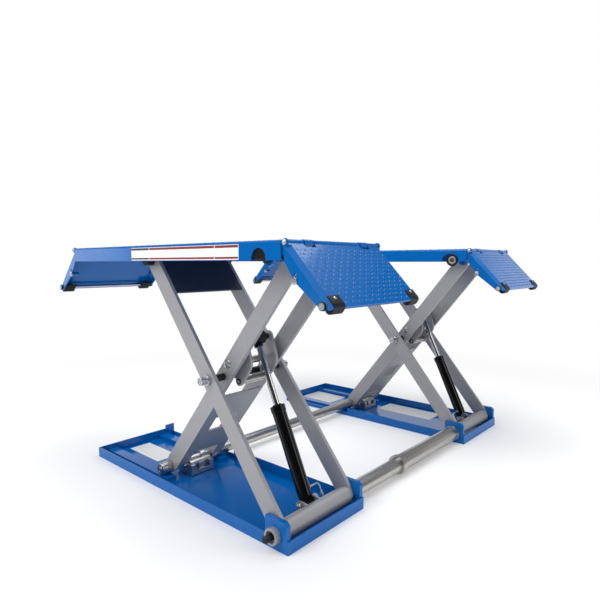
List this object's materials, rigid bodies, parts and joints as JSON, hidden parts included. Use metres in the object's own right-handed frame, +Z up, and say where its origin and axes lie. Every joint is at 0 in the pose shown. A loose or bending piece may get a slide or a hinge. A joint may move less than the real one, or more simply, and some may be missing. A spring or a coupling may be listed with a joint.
{
  "type": "scissor car lift",
  "caption": "Low twin-platform scissor lift for cars, shown raised, with hinged drive-on ramps, hydraulic cylinders and a torsion bar joining its two units.",
  "frame": {"origin": "middle of the overall box on the floor, midway between the two units, under the raised platforms' middle", "axes": "+X towards the front ramps, where the arms' fixed pivots are; +Y towards the left unit; +Z up"},
  "size_m": [1.7732, 1.8586, 1.016],
  "materials": {
    "blue_paint": "gloss",
    "arm_paint": "satin",
    "dark_steel": "satin",
    "bright_steel": "satin",
    "black_paint": "gloss",
    "chrome": "gloss",
    "black_polymer": "satin"
  },
  "bodies": {
    "base": {"base_tray_right": "blue_paint", "base_tray_left": "blue_paint"},
    "outer_arms": {"torsion_tube": "bright_steel", "torsion_sleeve": "bright_steel", "hub_tube_right": "bright_steel", "lower_cylinder_pin_right": "black_paint", "pivot_pin_right": "black_paint", "pivot_bush_right": "bright_steel", "mid_pivot_shaft_right": "bright_steel", "upper_cross_plate_right": "dark_steel", "outer_arm_outboard_right": "arm_paint", "outer_arm_inboard_right": "arm_paint", "hub_tube_left": "bright_steel", "lower_cylinder_pin_left": "black_paint", "pivot_pin_left": "black_paint", "pivot_bush_left": "bright_steel", "mid_pivot_shaft_left": "bright_steel", "upper_cross_plate_left": "dark_steel", "outer_arm_outboard_left": "arm_paint", "outer_arm_inboard_left": "arm_paint"},
    "inner_arms": {"rear_axle": "bright_steel", "lower_cross_plate_right": "dark_steel", "rod_bracket_right": "dark_steel", "inner_arm_outboard_right": "arm_paint", "inner_arm_inboard_right": "arm_paint", "lower_cross_plate_left": "dark_steel", "rod_bracket_left": "dark_steel", "inner_arm_outboard_left": "arm_paint", "inner_arm_inboard_left": "arm_paint"},
    "platform_deck_right": {"platform_right": "blue_paint", "top_pin_outboard_right": "black_paint", "top_pin_inboard_right": "black_paint"},
    "lock_right": {"lock_shoe_right": "bright_steel"},
    "barrel_right": {"cylinder_barrel_right": "black_paint"},
    "rod_right": {"piston_rod_right": "chrome", "rod_eye_right": "black_paint"},
    "ramp_front_right": {"ramp_front_right": "blue_paint"},
    "ramp_wheels_front_right": {"ramp_roller_front_right": "black_polymer"},
    "ramp_rear_right": {"ramp_rear_right": "blue_paint"},
    "ramp_wheels_rear_right": {"ramp_roller_rear_right": "black_polymer"},
    "base_wheel_outboard_right": {"base_roller_outboard_right": "bright_steel"},
    "platform_wheel_outboard_right": {"platform_roller_outboard_right": "black_polymer"},
    "base_wheel_inboard_right": {"base_roller_inboard_right": "bright_steel"},
    "platform_wheel_inboard_right": {"platform_roller_inboard_right": "black_polymer"},
    "platform_deck_left": {"platform_left": "blue_paint", "top_pin_outboard_left": "black_paint", "top_pin_inboard_left": "black_paint"},
    "lock_left": {"lock_shoe_left": "bright_steel"},
    "barrel_left": {"cylinder_barrel_left": "black_paint"},
    "rod_left": {"piston_rod_left": "chrome", "rod_eye_left": "black_paint"},
    "ramp_front_left": {"ramp_front_left": "blue_paint"},
    "ramp_wheels_front_left": {"ramp_roller_front_left": "black_polymer"},
    "ramp_rear_left": {"ramp_rear_left": "blue_paint"},
    "ramp_wheels_rear_left": {"ramp_roller_rear_left": "black_polymer"},
    "base_wheel_outboard_left": {"base_roller_outboard_left": "bright_steel"},
    "platform_wheel_outboard_left": {"platform_roller_outboard_left": "black_polymer"},
    "base_wheel_inboard_left": {"base_roller_inboard_left": "bright_steel"},
    "platform_wheel_inboard_left": {"platform_roller_inboard_left": "black_polymer"}
  },
  "joints": [
    {"name": "lift_fold", "type": "hinge", "parent": "base", "child": "outer_arms", "pos_m": [0.6185, 0, 0.05], "axis": [0, -1, 0], "range_deg": [0, 47.58]},
    {"name": "middle_pivot", "type": "hinge", "parent": "outer_arms", "child": "inner_arms", "pos_m": [0.25, 0, 0.503], "axis": [0, 1, 0], "range_deg": [0, 95.18]},
    {"name": "platform_level_right", "type": "hinge", "parent": "inner_arms", "child": "platform_deck_right", "pos_m": [0.6185, -0.668, 0.956], "axis": [0, -1, 0], "range_deg": [0, 47.59]},
    {"name": "lock_level_right", "type": "hinge", "parent": "inner_arms", "child": "lock_right", "pos_m": [-0.1185, -0.668, 0.05], "axis": [0, -1, 0], "range_deg": [0, 47.59]},
    {"name": "cylinder_swing_right", "type": "hinge", "parent": "outer_arms", "child": "barrel_right", "pos_m": [0.57522, -0.668, 0.07151], "axis": [0, 1, 0], "range_deg": [-2.54, 0]},
    {"name": "rod_travel_right", "type": "slide", "parent": "barrel_right", "child": "rod_right", "axis": [-0.4191, 0, 0.908], "range_m": [-0.2311, 0]},
    {"name": "ramp_hinge_front_right", "type": "hinge", "parent": "platform_deck_right", "child": "ramp_front_right", "pos_m": [0.705, -0.668, 1.004], "axis": [0, -1, 0], "range_deg": [0, 47]},
    {"name": "ramp_roller_spin_front_right", "type": "hinge", "parent": "ramp_front_right", "child": "ramp_wheels_front_right", "pos_m": [0.85347, -0.668, 0.81839], "axis": [0, 1, 0], "continuous": true},
    {"name": "ramp_hinge_rear_right", "type": "hinge", "parent": "platform_deck_right", "child": "ramp_rear_right", "pos_m": [-0.705, -0.668, 1.004], "axis": [0, 1, 0], "range_deg": [0, 47]},
    {"name": "ramp_roller_spin_rear_right", "type": "hinge", "parent": "ramp_rear_right", "child": "ramp_wheels_rear_right", "pos_m": [-0.85347, -0.668, 0.81839], "axis": [0, 1, 0], "continuous": true},
    {"name": "base_roller_spin_outboard_right", "type": "hinge", "parent": "inner_arms", "child": "base_wheel_outboard_right", "pos_m": [-0.1185, -0.668, 0.05], "axis": [0, 1, 0], "continuous": true},
    {"name": "platform_roller_spin_outboard_right", "type": "hinge", "parent": "outer_arms", "child": "platform_wheel_outboard_right", "pos_m": [-0.1185, -0.668, 0.956], "axis": [0, 1, 0], "continuous": true},
    {"name": "base_roller_spin_inboard_right", "type": "hinge", "parent": "inner_arms", "child": "base_wheel_inboard_right", "pos_m": [-0.1185, -0.668, 0.05], "axis": [0, 1, 0], "continuous": true},
    {"name": "platform_roller_spin_inboard_right", "type": "hinge", "parent": "outer_arms", "child": "platform_wheel_inboard_right", "pos_m": [-0.1185, -0.668, 0.956], "axis": [0, 1, 0], "continuous": true},
    {"name": "platform_level_left", "type": "hinge", "parent": "inner_arms", "child": "platform_deck_left", "pos_m": [0.6185, 0.668, 0.956], "axis": [0, -1, 0], "range_deg": [0, 47.59]},
    {"name": "lock_level_left", "type": "hinge", "parent": "inner_arms", "child": "lock_left", "pos_m": [-0.1185, 0.668, 0.05], "axis": [0, -1, 0], "range_deg": [0, 47.59]},
    {"name": "cylinder_swing_left", "type": "hinge", "parent": "outer_arms", "child": "barrel_left", "pos_m": [0.57522, 0.668, 0.07151], "axis": [0, 1, 0], "range_deg": [-2.54, 0]},
    {"name": "rod_travel_left", "type": "slide", "parent": "barrel_left", "child": "rod_left", "axis": [-0.4191, 0, 0.908], "range_m": [-0.2311, 0]},
    {"name": "ramp_hinge_front_left", "type": "hinge", "parent": "platform_deck_left", "child": "ramp_front_left", "pos_m": [0.705, 0.668, 1.004], "axis": [0, -1, 0], "range_deg": [0, 47]},
    {"name": "ramp_roller_spin_front_left", "type": "hinge", "parent": "ramp_front_left", "child": "ramp_wheels_front_left", "pos_m": [0.85347, 0.668, 0.81839], "axis": [0, 1, 0], "continuous": true},
    {"name": "ramp_hinge_rear_left", "type": "hinge", "parent": "platform_deck_left", "child": "ramp_rear_left", "pos_m": [-0.705, 0.668, 1.004], "axis": [0, 1, 0], "range_deg": [0, 47]},
    {"name": "ramp_roller_spin_rear_left", "type": "hinge", "parent": "ramp_rear_left", "child": "ramp_wheels_rear_left", "pos_m": [-0.85347, 0.668, 0.81839], "axis": [0, 1, 0], "continuous": true},
    {"name": "base_roller_spin_outboard_left", "type": "hinge", "parent": "inner_arms", "child": "base_wheel_outboard_left", "pos_m": [-0.1185, 0.668, 0.05], "axis": [0, 1, 0], "continuous": true},
    {"name": "platform_roller_spin_outboard_left", "type": "hinge", "parent": "outer_arms", "child": "platform_wheel_outboard_left", "pos_m": [-0.1185, 0.668, 0.956], "axis": [0, 1, 0], "continuous": true},
    {"name": "base_roller_spin_inboard_left", "type": "hinge", "parent": "inner_arms", "child": "base_wheel_inboard_left", "pos_m": [-0.1185, 0.668, 0.05], "axis": [0, 1, 0], "continuous": true},
    {"name": "platform_roller_spin_inboard_left", "type": "hinge", "parent": "outer_arms", "child": "platform_wheel_inboard_left", "pos_m": [-0.1185, 0.668, 0.956], "axis": [0, 1, 0], "continuous": true}
  ],
  "couplings": [
    {"joint": "middle_pivot", "follows": "lift_fold", "ratio": 2},
    {"joint": "platform_level_right", "follows": "lift_fold", "ratio": 1},
    {"joint": "lock_level_right", "follows": "lift_fold", "ratio": 1},
    {"joint": "cylinder_swing_right", "follows": "lift_fold", "ratio": -0.05333},
    {"joint": "rod_travel_right", "follows": "lift_fold", "m_per_rad": -0.27763},
    {"joint": "platform_level_left", "follows": "lift_fold", "ratio": 1},
    {"joint": "lock_level_left", "follows": "lift_fold", "ratio": 1},
    {"joint": "cylinder_swing_left", "follows": "lift_fold", "ratio": -0.05333},
    {"joint": "rod_travel_left", "follows": "lift_fold", "m_per_rad": -0.27763}
  ]
}
